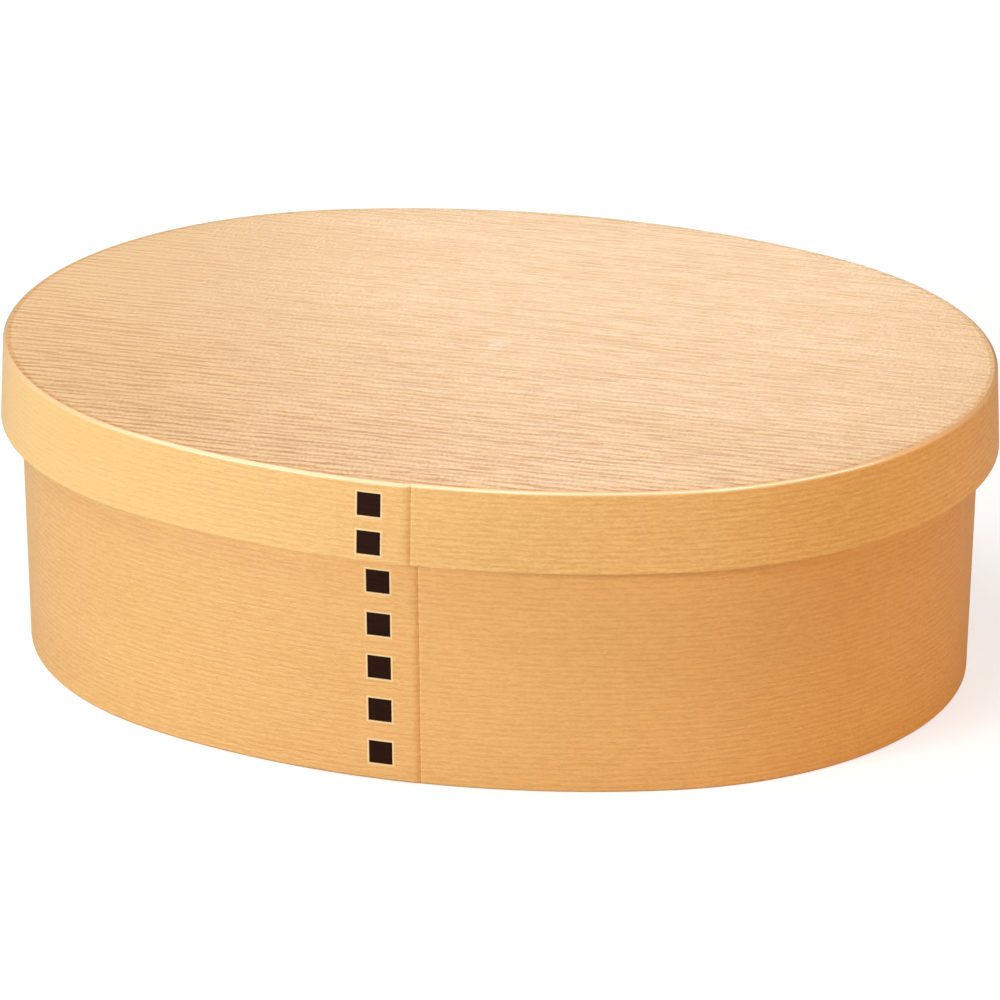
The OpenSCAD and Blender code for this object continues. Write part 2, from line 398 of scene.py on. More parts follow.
def cut_pocket(shape, wall, rows, rings, low, high, look):
    """Walls and floor of a stitch's pocket between two rows. Returns the cells that it opens."""
    depth = STITCH_DEPTH + STITCH_GAP
    half = wall.pocket_half()
    first = nearest(wall.stations, wall.stitch - half)
    last = nearest(wall.stations, wall.stitch + half)
    floor = {}
    for r in range(low, high + 1):
        for s in range(first, last + 1):
            offset, z = rows[r]
            place = wall.place(wall.stations[s], offset, z)
            deep = wall.place(wall.stations[s], offset - depth, z)
            lap = wall.place(wall.stations[s], wall.out(z), z)
            sunk = Vector(lap) + (Vector(deep) - Vector(place)).normalized() * depth
            floor[r, s] = shape.point(tuple(sunk))
    cells = [(r, s) for r in range(low, high) for s in range(first, last)]
    for r, s in cells:
        shape.face((floor[r, s], floor[r, s + 1], floor[r + 1, s + 1], floor[r + 1, s]), look)
    for s in range(first, last):
        shape.face((rings[low][s], rings[low][s + 1], floor[low, s + 1], floor[low, s]), look)
        shape.face((floor[high, s], floor[high, s + 1], rings[high][s + 1], rings[high][s]), look)
    for r in range(low, high):
        shape.face((floor[r, first], floor[r + 1, first], rings[r + 1][first], rings[r][first]), look)
        shape.face((rings[r][last], rings[r + 1][last], floor[r + 1, last], floor[r, last]), look)
    return cells


def sweep_wall(shape, wall, rows, heights, look):
    """Sweeps a section round the oval and opens the stitches' pockets. Returns its rings of points."""
    rings = [[shape.point(wall.place(along, *row)) for along in wall.stations] for row in rows]
    outer = [z if abs(offset - wall.out(z)) < ON_FACE else -1 for offset, z in rows]
    half = STITCH_SIZE / 2 + STITCH_GAP
    opened = set()
    for z in heights:
        low = nearest(outer, z - half)
        high = nearest(outer, z + half)
        opened.update(cut_pocket(shape, wall, rows, rings, low, high, look(wall.out(z), z)))
    for r in range(len(rows) - 1):
        offset = (rows[r][0] + rows[r + 1][0]) / 2
        z = (rows[r][1] + rows[r + 1][1]) / 2
        for s in range(len(wall.stations)):
            if (r, s) not in opened:
                t = (s + 1) % len(wall.stations)
                corners = (rings[r][s], rings[r][t], rings[r + 1][t], rings[r + 1][s])
                shape.face(corners, look(offset, z))
    return rings


def make_piece(name, shape, materials, body, node=None, sharp_angle=SHARP_ANGLE):
    """Makes the mesh object in metres, and ties it to its body and to the CAD node it stands for."""
    mesh = bpy.data.meshes.new(name)
    mesh.from_pydata([Vector(p) * MM for p in shape.points], [], shape.faces)
    for material in materials:
        mesh.materials.append(material)
    for polygon, look in zip(mesh.polygons, shape.looks):
        polygon.material_index = look
        polygon.use_smooth = True
    mesh.set_sharp_from_angle(angle=math.radians(sharp_angle))
    mesh.validate()
    piece = bpy.data.objects.new(name, mesh)
    bpy.context.scene.collection.objects.link(piece)
    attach(piece, body)
    if node:
        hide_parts(node)


def stitch_heights(start, pitch, count):
    return [start + i * pitch for i in range(count)]


def wall_corners(out, heights):
    """Plain corners on a wall's outer face at the upper and lower edge of each stitch's pocket."""
    half = STITCH_SIZE / 2 + STITCH_GAP
    edges = [z + side * half for z in heights for side in (-1, 1)]
    return [(out(z), z, 0) for z in edges]


# The two shells' walls and the heights of their stitches
lid_wall = Wall(skirt_out, LID_WALL, EDGE_IN, SKIRT_MID, LID_LAP_X, 0.0, LID_STITCH_BACK,
                lambda z: 1.0)
body_wall = Wall(body_out, BODY_WALL, 0.0, SEAM_MID, BODY_LAP_X, SEAM_LEAN, BODY_STITCH_BACK,
                 lambda z: clamp(z / FOOT_EDGE_R))
lid_heights = stitch_heights(SKIRT_Z + LID_STITCH_Z, LID_STITCH_PITCH, LID_STITCHES)
body_heights = stitch_heights(BODY_STITCH_Z, BODY_STITCH_PITCH, BODY_STITCHES)


def gate_height(x, y):
    """Height of the lid's top, with the shallow gate dimple in its middle."""
    return TOTAL_HEIGHT - GATE_DEPTH * (1 - smooth(math.hypot(x, y) / GATE_R))


def lid_edge():
    """Corners of the lid's outer edge, from the skirt over the polished slope to the flat of the top."""
    high = TOTAL_HEIGHT - TOP_FALL
    low = high - EDGE_DROP
    start = Vector((skirt_out(low), low))
    end = Vector((skirt_out(high) - EDGE_IN, high))
    slope = end - start
    outwards = Vector((slope.y, -slope.x)).normalized()
    corners = [(start.x, start.y, EDGE_R)]
    for share in BULGE_SHARES:
        place = start + slope * share + outwards * EDGE_BULGE * 4 * share * (1 - share)
        corners.append((place.x, place.y, 0))
    corners.append((end.x, end.y, EDGE_R))
    for step in range(1, FALL_STEPS + 1):
        share = step / FALL_STEPS
        fall = TOP_FALL * (1 - share) ** 2
        corners.append((end.x - TOP_FALL_WIDTH * share, TOTAL_HEIGHT - fall, 0))
    return corners


def lid_look(offset, z):
    """Which of the lid's looks a face takes: top 0, skirt 1, polished edge 2 or the top's border 3, painted
    darker as shade.
    """
    high = TOTAL_HEIGHT - TOP_FALL
    inside = skirt_out(high) - EDGE_IN
    if z < high - EDGE_DROP - EDGE_R / 2:
        return 0 if z > LID_UNDER - LID_FLAT_RISE and offset < inside else 1
    if offset > inside - EDGE_R / 2:
        return 2
    # A band along the top's edge takes darker tones, as painted shade
    return 3 if offset > inside - PAINTED_SHADE_BORDER_WIDTH else 0


def build_lid(materials):
    """Cap lid: from under its top, down inside the skirt, up the outside and over the edge."""
    shape = Shape()
    corners = [(skirt_in(LID_UNDER) - FLAT_MARGIN, LID_UNDER, 0),
               (skirt_in(LID_UNDER), LID_UNDER, LID_INSIDE_R),
               (skirt_in(SKIRT_Z), SKIRT_Z, RIM_R),
               (skirt_out(SKIRT_Z), SKIRT_Z, SKIRT_EDGE_R)]
    corners += wall_corners(skirt_out, lid_heights)
    corners += lid_edge()
    rings = sweep_wall(shape, lid_wall, rounded(corners), lid_heights, lid_look)
    shape.close(rings[0], FLAT_SHARES, lambda x, y: LID_UNDER, flip=True)
    shape.close(rings[-1], TOP_SHARES, gate_height)
    make_piece("lid_shell", shape, materials, "lid", "lid")


def body_look(offset, z):
    """Which of the body's materials a face takes: that of the flat floor or that of the wall."""
    return 0 if z < FLOOR_Z + FLOOR_FLAT_RISE and offset < body_in(z) - FLOOR_FLAT_IN else 1


def build_body(flat_material, wall_material):
    """Box shell: from under its floor, round the foot ring, up the outside and down the inside."""
    shape = Shape()
    ring_in = body_out(0) - FOOT_RING_W
    corners = [(ring_in - WIDE_MARGIN, FOOT_HOLLOW, 0),
               (ring_in, FOOT_HOLLOW, FOOT_RING_R),
               (ring_in, 0, FOOT_RING_R),
               (body_out(0), 0, FOOT_EDGE_R)]
    corners += wall_corners(body_out, body_heights)
    corners += [(body_out(BODY_HEIGHT), BODY_HEIGHT, RIM_R),
                (body_in(BODY_HEIGHT), BODY_HEIGHT, RIM_R),
                (body_in(FLOOR_Z), FLOOR_Z, INSIDE_R),
                (body_in(FLOOR_Z) - INSIDE_R - FLAT_MARGIN, FLOOR_Z, 0)]
    rings = sweep_wall(shape, body_wall, rounded(corners), body_heights, body_look)
    shape.close(rings[0], FLAT_SHARES, lambda x, y: FOOT_HOLLOW, flip=True)
    shape.close(rings[-1], FLAT_SHARES, lambda x, y: FLOOR_Z)
    make_piece("body_shell", shape, [flat_material, wall_material], "box", "body")


def wall_inwards(along):
    """Level direction from the wall's face into the wall."""
    x, y = oval_point(along, 0)
    deeper = oval_point(along, -1)
    return Vector((deeper[0] - x, deeper[1] - y, 0))


def square_ring(shape, wall, z_middle, half, rise):
    """Ring of points round a square on the wall's face, lifted off it by a rise."""
    side = [half * (2 * step / LIP_STEPS - 1) for step in range(LIP_STEPS)]
    spots = [(a, -half) for a in side] + [(half, b) for b in side]
    spots += [(-a, half) for a in side] + [(-half, -b) for b in side]
    ring = []
    for a, b in spots:
        along = wall.stitch + a * wall.stretch
        z = z_middle + b
        face = Vector(wall.place(along, wall.out(z), z))
        ring.append(shape.point(tuple(face - wall_inwards(along) * rise)))
    return ring


def add_lip(shape, wall, z_middle):
    """Narrow raised lip round a stitch's pocket, rooted in the wall, in paler tones as a painted highlight.
    """
    inner = STITCH_SIZE / 2 + STITCH_GAP
    section = [(0, -LIP_ROOT), (0, 0), (LIP_WIDTH / 3, LIP_RISE), (LIP_WIDTH * 2 / 3, LIP_RISE),
               (LIP_WIDTH, 0), (LIP_WIDTH, -LIP_ROOT)]
    rings = [square_ring(shape, wall, z_middle, inner + out, rise) for out, rise in section]
    for ring, following in zip(rings, rings[1:] + rings[:1]):
        shape.band(ring, following, 1, flip=True)


def build_stitch(name, wall, z_middle, materials, body, node):
    """One square stitch let into the lap: a thin bevelled block bent to the wall, with a lip round it."""
    shape = Shape()
    half = STITCH_SIZE / 2
    inner = half - STITCH_BEVEL
    parts = range(-STITCH_STEPS, STITCH_STEPS + 1)
    lines = [-half] + [inner * part / STITCH_STEPS for part in parts] + [half]
    last = len(lines) - 1
    front = {}
    back = {}
    for i, a in enumerate(lines):
        for j, b in enumerate(lines):
            at_edge = i in (0, last) or j in (0, last)
            dome = STITCH_DOME * (1 - (a / half) ** 2) * (1 - (b / half) ** 2)
            sunk = STITCH_INSET + (STITCH_BEVEL if at_edge else STITCH_DOME - dome)
            along = wall.stitch + a * wall.stretch
            z = z_middle + b
            face = Vector(wall.place(along, wall.out(z), z))
            inwards = wall_inwards(along)
            front[i, j] = shape.point(tuple(face + inwards * sunk))
            back[i, j] = shape.point(tuple(face + inwards * STITCH_DEPTH))
    for i in range(last):
        for j in range(last):
            square = ((i, j), (i + 1, j), (i + 1, j + 1), (i, j + 1))
            shape.face([front[key] for key in square])
            shape.face([back[key] for key in square[::-1]])
    steps = range(last)
    border = [(i, 0) for i in steps] + [(last, j) for j in steps]
    border += [(last - i, last) for i in steps] + [(0, last - j) for j in steps]
    for here, there in zip(border, border[1:] + border[:1]):
        shape.face((front[there], front[here], back[here], back[there]))
    add_lip(shape, wall, z_middle)
    make_piece(name, shape, materials, body, node)


def plain_sweep(shape, rows, stations, closed=False):
    """Sweeps a section round the plain oval. Returns its rings of points."""
    rings = [[shape.point((*oval_point(along, offset), z)) for along in stations] for offset, z in rows]
    for ring, following in zip(rings, rings[1:]):
        shape.band(ring, following)
    if closed:
        shape.band(rings[-1], rings[0])
    return rings


def build_inner_lid(material):
    """Sealing lid: a plug with a groove, a flange on the rim and a sunken panel."""
    shape = Shape()
    corners = [(PLUG_IN - FLAT_MARGIN, PANEL_Z, 0),
               (PLUG_IN, PANEL_Z, PANEL_UNDER_R),
               (PLUG_IN, PLUG_Z, PLUG_EDGE_R),
               (PLUG_OUT, PLUG_Z, PLUG_EDGE_R),
               (PLUG_OUT, GROOVE_LOW, GROOVE_R),
               (GROOVE_IN, GROOVE_LOW, GROOVE_R),
               (GROOVE_IN, GROOVE_TOP, GROOVE_R),
               (PLUG_OUT, GROOVE_TOP, GROOVE_R),
               (PLUG_OUT, BODY_HEIGHT, FLANGE_ROOT_R),
               (FLANGE_OUT, BODY_HEIGHT, FLANGE_LOW_R),
               (FLANGE_OUT, LID_UNDER, FLANGE_TOP_R),
               (PLUG_IN, LID_UNDER, PANEL_MOUTH_R),
               (PLUG_IN, PANEL_TOP, PANEL_ROOT_R),
               (PLUG_IN - WIDE_MARGIN, PANEL_TOP, 0)]
    rings = plain_sweep(shape, rounded(corners), even_stations())
    shape.close(rings[0], FLAT_SHARES, lambda x, y: PANEL_Z, flip=True)
    shape.close(rings[-1], FLAT_SHARES, lambda x, y: PANEL_TOP)
    make_piece("inner_lid_panel", shape, [material], "inner_lid", "inner_lid")


def build_gasket(material):
    """Silicone ring in the plug's groove, with two soft lips towards the body's wall."""
    shape = Shape()
    high = GROOVE_TOP - GROOVE_GAP
    back = GROOVE_IN + GROOVE_GAP
    lip = body_in(GROOVE_LOW) - SEAL_GAP
    lip_height = GASKET_HEIGHT / 4
    corners = [(back, GROOVE_LOW, GASKET_R),
               (PLUG_OUT, GROOVE_LOW, GASKET_ROOT_R),
               (lip, GROOVE_LOW + lip_height, GASKET_LIP_R),
               (PLUG_OUT, GROOVE_LOW + 2 * lip_height, GASKET_LIP_R),
               (lip, GROOVE_LOW + 3 * lip_height, GASKET_LIP_R),
               (PLUG_OUT, high, GASKET_R),
               (back, high, GASKET_R)]
    plain_sweep(shape, rounded(corners, closed=True), even_stations(), closed=True)
    make_piece("gasket_ring", shape, [material], "inner_lid", "inner_lid_gasket",
               GASKET_SHARP_ANGLE)


def rounded_block(low, high, radius):
    """A block between two corners with rounded edges."""
    block = bmesh.new()
    bmesh.ops.create_cube(block, size=1)
    size = Vector(high) - Vector(low)
    middle = (Vector(high) + Vector(low)) / 2
    for vert in block.verts:
        vert.co = Vector(c * s for c, s in zip(vert.co, size)) + middle
    bmesh.ops.bevel(block, geom=block.edges[:], offset=radius, segments=BEVEL_STEPS, profile=0.5,
                    affect="EDGES")
    shape = Shape()
    block.verts.index_update()
    for vert in block.verts:
        shape.point(tuple(vert.co))
    for face in block.faces:
        shape.face([vert.index for vert in face.verts])
    block.free()
    return shape


def build_grip(material):
    """Rib on the inner lid's panel to lift it by, let a little into the panel."""
    x = END_X + END_R + PLUG_IN - GRIP_END
    low = (x - GRIP_T / 2, -GRIP_LENGTH / 2, PANEL_TOP - GRIP_SUNK)
    high = (x + GRIP_T / 2, GRIP_LENGTH / 2, LID_UNDER - GRIP_DROP)
    shape = rounded_block(low, high, GRIP_R)
    make_piece("inner_lid_grip", shape, [material], "inner_lid")


def divider_side(z):
    """Half the divider's width at a height, on its narrower face."""
    reach = SIDE_R + body_in(z) - DIVIDER_GAP
    x = DIVIDER_X + DIVIDER_T / 2
    return math.sqrt(reach * reach - x * x) - SIDE_Y


def build_divider(material):
    """Loose partition: a plate with rounded edges that follows the box's inside."""
    shape = Shape()
    low = divider_side(FLOOR_Z)
    high = divider_side(DIVIDER_TOP)
    corners = [(-low, FLOOR_Z, INSIDE_R),
               (low, FLOOR_Z, INSIDE_R),
               (high, DIVIDER_TOP, DIVIDER_CORNER_R),
               (-high, DIVIDER_TOP, DIVIDER_CORNER_R)]
    outline = [Vector(p) for p in rounded(corners, closed=True)]
    count = len(outline)
    section = [(-DIVIDER_T / 2, DIVIDER_EDGE_R + HOLD)]
    for step in range(ARC_STEPS + 1):
        angle = math.pi / 2 * step / ARC_STEPS
        across = DIVIDER_EDGE_R * (1 - math.cos(angle)) - DIVIDER_T / 2
        section.append((across, DIVIDER_EDGE_R * (1 - math.sin(angle))))
    section += [(-across, inset) for across, inset in reversed(section)]
    rings = []
    for across, inset in section:
        ring = []
        for i, p in enumerate(outline):
            tangent = outline[(i + 1) % count] - outline[i - 1]
            inwards = Vector((-tangent.y, tangent.x)).normalized()
            q = p + inwards * inset
            ring.append(shape.point((DIVIDER_X + across, q.x, q.y)))
        rings.append(ring)
    for ring, following in zip(rings, rings[1:]):
        shape.band(ring, following)
    shape.face(rings[0][::-1])
    shape.face(rings[-1])
    make_piece("divider_plate", shape, [material], "divider", "divider")


def build_divider_foot(material):
    """Flat foot that keeps the divider upright."""
    width, length, thickness = DIVIDER_FOOT
    low = (DIVIDER_X - width / 2, -length / 2, FLOOR_Z)
    high = (DIVIDER_X + width / 2, length / 2, FLOOR_Z + thickness)
    shape = rounded_block(low, high, DIVIDER_FOOT_R)
    make_piece("divider_foot", shape, [material], "divider")


def start_material(name):
    """A new node material. Returns it with its node tree and its shader."""
    material = bpy.data.materials.new(name)
    material.use_nodes = True
    tree = material.node_tree
    return material, tree, tree.nodes["Principled BSDF"]


def add_node(tree, kind, values=None, **settings):
    """Adds a node and sets its inputs and settings."""
    node = tree.nodes.new(kind)
    for key, value in settings.items():
        setattr(node, key, value)
    for key, value in (values or {}).items():
        node.inputs[key].default_value = value
    return node


def add_place(tree, scales):
    """The piece's own coordinates, stretched by a scale on each axis."""
    place = add_node(tree, "ShaderNodeTexCoord")
    stretch = add_node(tree, "ShaderNodeMapping", {"Scale": scales})
    tree.links.new(place.outputs["Object"], stretch.inputs["Vector"])
    return stretch.outputs["Vector"]


def add_noise(tree, scales, detail, roughness):
    """Noise over the piece's own coordinates, with a scale on each axis, per metre."""
    noise = add_node(tree, "ShaderNodeTexNoise",
                     {"Scale": 1.0, "Detail": detail, "Roughness": roughness, "Distortion": 0.0})
    tree.links.new(add_place(tree, scales), noise.inputs["Vector"])
    return noise.outputs["Fac"]


def add_ramp(tree, value, stops):
    """Colours by value: stops are (place, colour)."""
    ramp = add_node(tree, "ShaderNodeValToRGB")
    elements = ramp.color_ramp.elements
    while len(elements) < len(stops):
        elements.new(0.5)
    for element, (place, colour) in zip(elements, stops):
        element.position = place
        element.color = (*colour, 1.0)
    tree.links.new(value, ramp.inputs["Fac"])
    return ramp.outputs["Color"]


def add_multiply(tree, first, second):
    """Colour product of two colours."""
    mix = add_node(tree, "ShaderNodeMix", data_type="RGBA", blend_type="MULTIPLY")
    mix.inputs["Factor"].default_value = 1.0
    tree.links.new(first, mix.inputs["A"])
    tree.links.new(second, mix.inputs["B"])
    return mix.outputs["Result"]


def add_range(tree, value, low, high, start=0.0, end=1.0):
    """A value from start to end spread between two numbers, and held outside them."""
    spread = add_node(tree, "ShaderNodeMapRange",
                      {"From Min": start, "From Max": end, "To Min": low, "To Max": high})
    tree.links.new(value, spread.inputs["Value"])
    return spread.outputs["Result"]


def add_bump(tree, shader, height, distance):
    """Fine relief from a height of 0 to 1, with a distance in metres from hollow to crest."""
    bump = add_node(tree, "ShaderNodeBump", {"Distance": distance, "Strength": 1.0})
    tree.links.new(height, bump.inputs["Height"])
    tree.links.new(bump.outputs["Normal"], shader.inputs["Normal"])
    return bump


def add_ripple(tree, scales, direction, distortion, breaks):
    """Wavy, broken ripples over the piece's own coordinates, with a scale on each axis, per metre."""
    values = {"Scale": 1.0, "Distortion": distortion, "Detail": RIPPLE_DETAIL, "Detail Scale": breaks,
              "Detail Roughness": RIPPLE_ROUGHNESS}
    wave = add_node(tree, "ShaderNodeTexWave", values, bands_direction=direction)
    tree.links.new(add_place(tree, scales), wave.inputs["Vector"])
    return wave.outputs["Fac"]


def add_math(tree, operation, first, second):
    """Result of an operation, such as a sum or a product, on two values."""
    node = add_node(tree, "ShaderNodeMath", operation=operation)
    tree.links.new(first, node.inputs[0])
    tree.links.new(second, node.inputs[1])
    return node.outputs["Value"]


def add_grain(tree, grain):
    """Height of the embossed grain, about 0 to 1: broken hollows among streaks, with fine pores."""
    fade = add_noise(tree, grain["fade"], *SOFT_NOISE)
    depth = add_range(tree, fade, *grain["ripple_depth"], *NOISE_RANGE)
    hollow = add_range(tree, add_ripple(tree, *grain["ripples"]), 1.0, 0.0, 0.0, HOLLOW_END)
    streaks = add_noise(tree, grain["streaks"], *STREAK_NOISE)
    level = add_range(tree, streaks, 1.0 - grain["streak_depth"], 1.0, *WIDE_RANGE)
    relief = add_math(tree, "SUBTRACT", level, add_math(tree, "MULTIPLY", hollow, depth))
    pores = add_noise(tree, grain["pores"], *PORE_NOISE)
    pore_depth = grain["pore_depth"]
    return add_math(tree, "ADD", relief, add_range(tree, pores, -pore_depth, pore_depth, *WIDE_RANGE))


def add_share_along(tree, axis, start, end, low, high):
    """A number that changes from low to high between two places on an axis, in millimetres."""
    place = add_node(tree, "ShaderNodeTexCoord")
    split = add_node(tree, "ShaderNodeSeparateXYZ")
    tree.links.new(place.outputs["Object"], split.inputs["Vector"])
    return add_range(tree, split.outputs[axis], low, high, start * MM, end * MM)


def add_distance(tree):
    """Level distance from the middle of the piece, in metres."""
    distance = add_node(tree, "ShaderNodeVectorMath", operation="LENGTH")
    tree.links.new(add_place(tree, (1, 1, 0)), distance.inputs["Vector"])
    return distance.outputs["Value"]


def add_gate_mark(tree, colour, tone):
    """Lays a soft, pale spot over a colour at the middle of the piece, where the moulding gate was."""
    share = add_range(tree, add_distance(tree), GATE_SHARE, 0.0, 0.0, GATE_R * MM)
    mix = add_node(tree, "ShaderNodeMix", data_type="RGBA")
    mix.inputs["B"].default_value = (*tone, 1.0)
    tree.links.new(share, mix.inputs["Factor"])
    tree.links.new(colour, mix.inputs["A"])
    return mix.outputs["Result"]


def spread_tones(tones):
    """Stops for a ramp over a noise, spread evenly over the range that a noise hardly leaves."""
    low, high = NOISE_RANGE
    step = (high - low) / (len(tones) - 1)
    return [(low + i * step, tone) for i, tone in enumerate(tones)]


def dress(tree, shader, colour, noise, roughness, relief):
    """Gives a shader its colour, and a roughness and a fine relief that follow a noise."""
    tree.links.new(colour, shader.inputs["Base Color"])
    tree.links.new(add_range(tree, noise, *roughness), shader.inputs["Roughness"])
    add_bump(tree, shader, noise, relief)


def grain_material(name, tones, grain, gloss):
    """Satin lacquer over an embossed wood grain, whose hollows are darker, and more so in some places along
    an axis as painted shade.
    """
    material, tree, shader = start_material(name)
    height = add_grain(tree, grain)
    patch = add_noise(tree, grain["patches"], *SOFT_NOISE)
    colour = add_ramp(tree, patch, spread_tones(tones))
    lines = add_ramp(tree, height, [(HOLLOW_STOP, grain["hollow"]), (CREST_STOP, WHITE)])
    mixed = add_multiply(tree, colour, lines)
    # How strongly the hollows darken changes along an axis: this change is painted shade
    tree.links.new(add_share_along(tree, *grain["hollow_share_with_painted_shade"]), mixed.node.inputs["Factor"])
    if "gate" in grain:
        mixed = add_gate_mark(tree, mixed, grain["gate"])
    tree.links.new(mixed, shader.inputs["Base Color"])
    tree.links.new(add_range(tree, patch, *grain["roughness"]), shader.inputs["Roughness"])
    bump = add_bump(tree, shader, height, grain["bump"])
    tree.links.new(bump.outputs["Normal"], shader.inputs["Coat Normal"])
    shader.inputs["Coat Weight"].default_value = gloss
    shader.inputs["Coat Roughness"].default_value = LACQUER_ROUGHNESS
    return material


def polished_material(name, tones, gloss):
    """Lacquer worn smooth and glossy along an edge; the paler tones given to the stitches' lip are a painted
    highlight.
    """
    material, tree, shader = start_material(name)
    wear = add_noise(tree, *WEAR_NOISE)
    colour = add_ramp(tree, wear, spread_tones(tones))
    dress(tree, shader, colour, wear, WEAR_ROUGHNESS, WEAR_RELIEF)
    shader.inputs["Coat Weight"].default_value = gloss
    shader.inputs["Coat Roughness"].default_value = POLISH_ROUGHNESS
    return material


def stitch_material():
    """Dark bark with fine fibres across the stitch and a dull polish."""
    material, tree, shader = start_material("dark_bark")
    fibre = add_noise(tree, *FIBRE_NOISE)
    colour = add_ramp(tree, fibre, spread_tones(BARK_TONES))
    dress(tree, shader, colour, fibre, FIBRE_ROUGHNESS, FIBRE_RELIEF)
    shader.inputs["Specular IOR Level"].default_value = BARK_SHINE
    return material


def frosted_material():
    """Frosted, slightly clear moulded plastic with a fine sparkle in its surface."""
    material, tree, shader = start_material("frosted_plastic")
    grit = add_noise(tree, *GRIT_NOISE)
    cloud = add_noise(tree, *CLOUD_NOISE)
    colour = add_ramp(tree, cloud, spread_tones(FROSTED_TONES))
    dress(tree, shader, colour, grit, GRIT_ROUGHNESS, GRIT_RELIEF)
    shader.inputs["Transmission Weight"].default_value = FROSTED_CLEARNESS
    return material


def silicone_material():
    """Soft pale silicone with a faint dusty variation."""
    material, tree, shader = start_material("pale_silicone")
    dust = add_noise(tree, *DUST_NOISE)
    colour = add_ramp(tree, dust, spread_tones(SILICONE_TONES))
    dress(tree, shader, colour, dust, DUST_ROUGHNESS, DUST_RELIEF)
    return material


# Where a noise's values lie: hardly outside the first range, and almost never outside the second
NOISE_RANGE = (0.3, 0.7)
WIDE_RANGE = (0.25, 0.75)

# Detail and roughness of the grain's noises and ripples. Below HOLLOW_END a ripple is a hollow. The tone
# changes from the hollow's to the crest's between the two stops
SOFT_NOISE = (2.0, 0.5)
STREAK_NOISE = (2.0, 0.55)
PORE_NOISE = (1.0, 0.5)
RIPPLE_DETAIL = 2.0
RIPPLE_ROUGHNESS = 0.6
HOLLOW_END = 0.8
HOLLOW_STOP = 0.1
CREST_STOP = 0.9

# The other materials: each noise's scales per metre, detail and roughness, then the surface's own roughness
# from the noise's low to its high values, and its relief in metres
WEAR_NOISE = ((120, 120, 120), 3.0, 0.55)
WEAR_ROUGHNESS = (0.45, 0.35)
WEAR_RELIEF = 0.00002
FIBRE_NOISE = ((350, 350, 2600), 3.0, 0.55)
FIBRE_ROUGHNESS = (0.55, 0.4)
FIBRE_RELIEF = 0.00003
GRIT_NOISE = ((2200, 2200, 2200), 2.0, 0.6)
GRIT_ROUGHNESS = (0.5, 0.34)
GRIT_RELIEF = 0.00002
CLOUD_NOISE = ((40, 40, 40), 2.0, 0.5)
DUST_NOISE = ((300, 300, 300), 3.0, 0.6)
DUST_ROUGHNESS = (0.6, 0.48)
DUST_RELIEF = 0.00004

# Tones of the lacquer, from the deeper patches to the paler ones. The top, skirt and body are one lacquer,
# and their tones differ as painted light and shade: the top's are paler, as lit from above, and the body's
# deeper, as shaded under the lid. The border's darker tones are a painted shade along the edge of the top,
# and the lip's paler tones a painted highlight round each stitch
WHITE = (1.0, 1.0, 1.0)
TOP_TONES_WITH_PAINTED_LIGHT = [(0.885, 0.583, 0.301), (0.901, 0.601, 0.317), (0.917, 0.619, 0.333)]
BORDER_TONES_PAINTED_SHADE = [(0.79, 0.475, 0.2), (0.81, 0.49, 0.21), (0.83, 0.505, 0.22)]
RIM_TONES = [(0.78, 0.5, 0.255), (0.8, 0.515, 0.27), (0.82, 0.53, 0.285)]
GATE_TONE = (0.95, 0.7, 0.52)
LIP_TONES_PAINTED_HIGHLIGHT = [(0.73, 0.54, 0.275), (0.748, 0.559, 0.29), (0.766, 0.577, 0.305)]
SKIRT_TONES = [(0.708, 0.45, 0.168), (0.724, 0.464, 0.177), (0.74, 0.478, 0.186)]
BODY_TONES_WITH_PAINTED_SHADE = [(0.7, 0.409, 0.144), (0.716, 0.422, 0.152), (0.732, 0.435, 0.16)]
DIVIDER_TONES = [(0.72, 0.4, 0.16), (0.75, 0.43, 0.18), (0.77, 0.45, 0.19)]

# Tones of the other materials, and what else sets their looks
BARK_TONES = [(0.0135, 0.0036, 0.0016), (0.0208, 0.0058, 0.0026)]
FROSTED_TONES = [(0.8, 0.78, 0.72), (0.86, 0.845, 0.8)]
SILICONE_TONES = [(0.74, 0.74, 0.72), (0.84, 0.84, 0.82)]
BARK_SHINE = 0.08
FROSTED_CLEARNESS = 0.25
LACQUER_ROUGHNESS = 0.22
POLISH_ROUGHNESS = 0.15
TOP_GLOSS = 0.25
WALL_GLOSS = 0.2
LIP_GLOSS = 0.3
EDGE_GLOSS = 1.0

# The grain on each face: scales per metre on X, Y and Z of its ripples, fading, streaks, pores and tone
# patches. A ripple of pitch p has the scale BAND / p on the axis that it crosses; a streak is half as wide
# or less. hollow_share_with_painted_shade is how strongly the hollows darken, from one place on an axis to
# another: the hollows' darker tone is the grain's own, and its change along the axis is painted shade
BAND = 2 * math.pi / 20 / MM
TOP_PITCH = 1.71
WALL_PITCH = 0.98
TOP_GRAIN = {
    "ripples": ((45, BAND / TOP_PITCH, 170), "Y", 4.8, 2.0),
    "ripple_depth": (0.36, 0.78),
    "fade": (120, 420, 420),
    "streaks": (170, 2 / TOP_PITCH / MM, 300),
    "streak_depth": 0.35,
    "pores": (1700, 1000, 1700),
    "pore_depth": 0.22,
    "patches": (14, 60, 60),
    "hollow": (0.64, 0.46, 0.34),
    # The hollows darken most at the front of the top and least behind its middle, as painted shade
    "hollow_share_with_painted_shade": ("Y", -LID_WIDTH / 2, LID_WIDTH / 4, 1.0, 0.2),
    "bump": 0.00008,
    "roughness": (0.5, 0.42),
    "gate": GATE_TONE,
}
